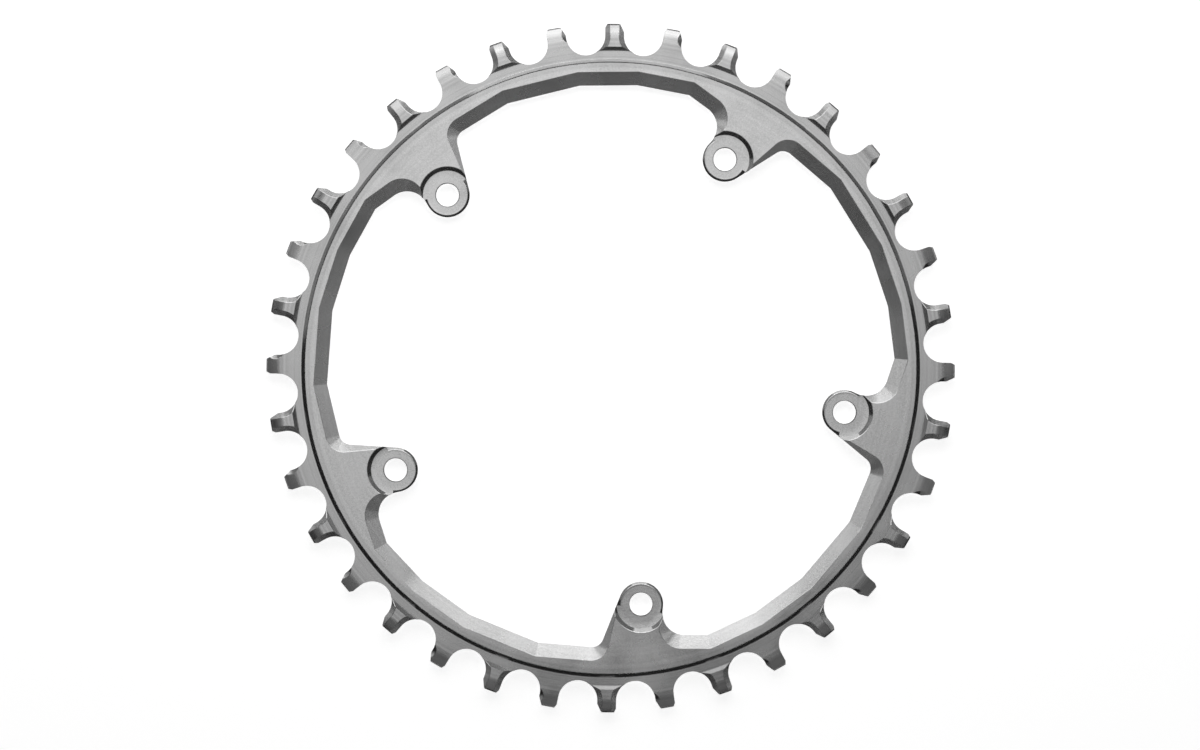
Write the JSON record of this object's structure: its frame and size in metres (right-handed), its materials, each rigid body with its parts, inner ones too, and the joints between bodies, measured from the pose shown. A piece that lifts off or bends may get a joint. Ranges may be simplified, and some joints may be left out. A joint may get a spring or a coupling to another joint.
{
  "type": "bicycle chainring",
  "caption": "Flat bicycle chainring milled from plate, with alternating narrow and wide teeth, a sloping faceted inner rim and inward lugs with recessed bolt seats.",
  "frame": {"origin": "on the ring's axis, in the plane of its rear face", "axes": "+Z along the axis towards the front face, +Y through the middle of a wide tooth"},
  "size_m": [0.1506, 0.1506, 0.0036],
  "materials": {
    "aluminium": "satin, machined"
  },
  "bodies": {
    "root": {"chainring": "aluminium"}
  },
  "joints": []
}
